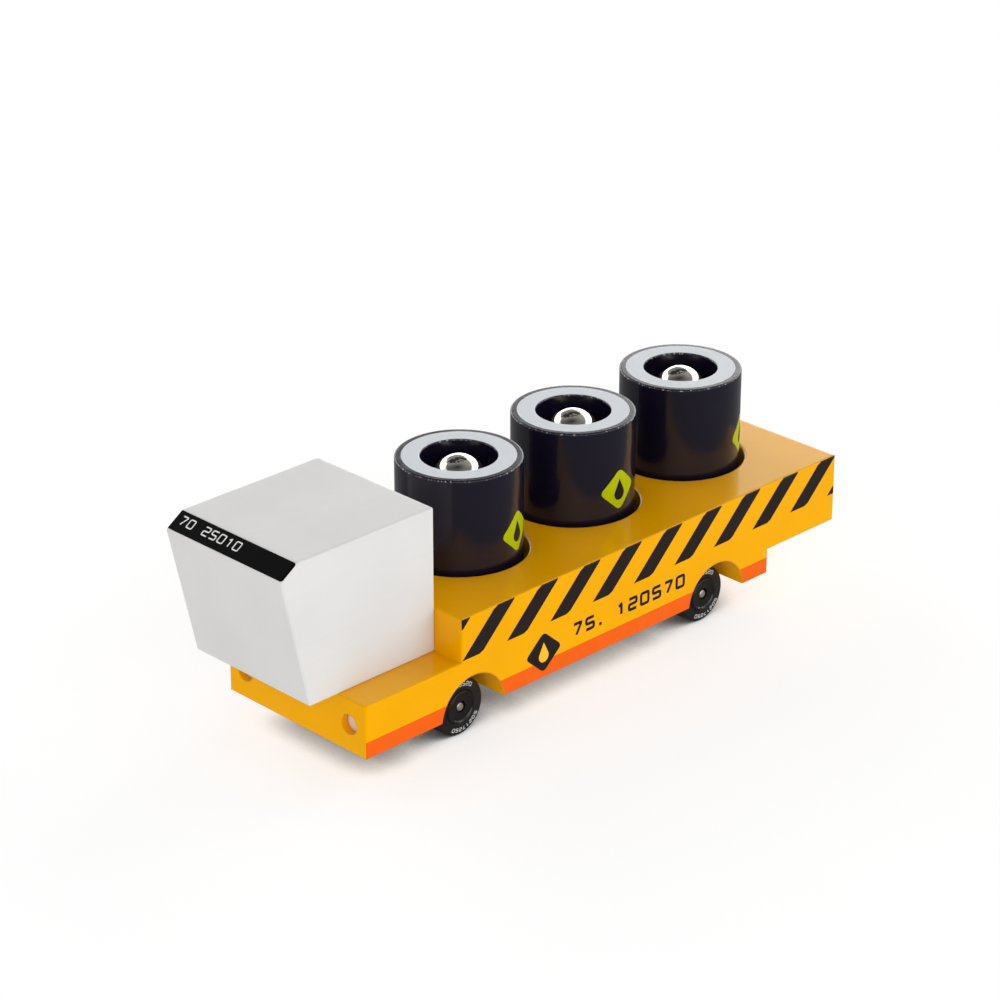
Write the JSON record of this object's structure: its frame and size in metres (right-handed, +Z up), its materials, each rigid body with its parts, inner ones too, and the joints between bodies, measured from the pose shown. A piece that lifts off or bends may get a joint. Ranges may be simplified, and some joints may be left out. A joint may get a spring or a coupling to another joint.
{
  "type": "toy tanker truck",
  "caption": "Wooden toy flat-bed tanker truck: raked box cab set to one side, upright drums standing in round pockets, wheels on free-turning axles in arches.",
  "frame": {"origin": "on the ground under the tyres, below the middle of the body's width and of the truck's overall length (0.7 mm to the left of the middle of the overall box, as the cab stands out to the right)", "axes": "+X towards the truck's nose, +Y to the truck's left (the side with the wide deck margin), +Z up"},
  "size_m": [0.2109, 0.0573, 0.0692],
  "materials": {
    "body_yellow_paint": "satin yellow paint over wood",
    "cab_white_paint": "satin white paint over wood",
    "bare_wood": "sanded, unpainted",
    "headlamp_pale": "pale gloss",
    "screw_steel": "zinc plated",
    "axle_steel": "drawn rod, cut ends",
    "sleeve_brass": "drawn tube",
    "hub_black": "gloss black",
    "tyre_black": "matt black",
    "drum_navy_paint": "semi-gloss near-black navy paint over wood",
    "ball_chrome": "polished"
  },
  "bodies": {
    "chassis": {"chassis_body": "body_yellow_paint", "cab_block": "cab_white_paint", "cab_dowels": "bare_wood", "headlamp_left": "headlamp_pale", "headlamp_right": "headlamp_pale", "axle_block_front": "bare_wood", "axle_block_rear": "bare_wood", "axle_sleeve_front": "sleeve_brass", "axle_sleeve_rear": "sleeve_brass", "axle_block_screws": "screw_steel"},
    "front_wheelset": {"axle_front": "axle_steel", "hub_front_left": "hub_black", "hub_front_right": "hub_black", "tyre_front_left": "tyre_black", "tyre_front_right": "tyre_black"},
    "rear_wheelset": {"axle_rear": "axle_steel", "hub_rear_left": "hub_black", "hub_rear_right": "hub_black", "tyre_rear_left": "tyre_black", "tyre_rear_right": "tyre_black"},
    "front_drum": {"drum_front": "drum_navy_paint", "ball_front": "ball_chrome"},
    "middle_drum": {"drum_middle": "drum_navy_paint", "ball_middle": "ball_chrome"},
    "rear_drum": {"drum_rear": "drum_navy_paint", "ball_rear": "ball_chrome"}
  },
  "joints": [
    {"name": "front_axle_spin", "type": "hinge", "parent": "chassis", "child": "front_wheelset", "pos_m": [0.0465, 0, 0.0087], "axis": [0, 1, 0], "continuous": true},
    {"name": "rear_axle_spin", "type": "hinge", "parent": "chassis", "child": "rear_wheelset", "pos_m": [-0.053, 0, 0.0087], "axis": [0, 1, 0], "continuous": true},
    {"name": "front_drum_lift", "type": "slide", "parent": "chassis", "child": "front_drum", "axis": [0, 0, 1], "range_m": [0, 0.04]},
    {"name": "middle_drum_lift", "type": "slide", "parent": "chassis", "child": "middle_drum", "axis": [0, 0, 1], "range_m": [0, 0.04]},
    {"name": "rear_drum_lift", "type": "slide", "parent": "chassis", "child": "rear_drum", "axis": [0, 0, 1], "range_m": [0, 0.04]}
  ]
}
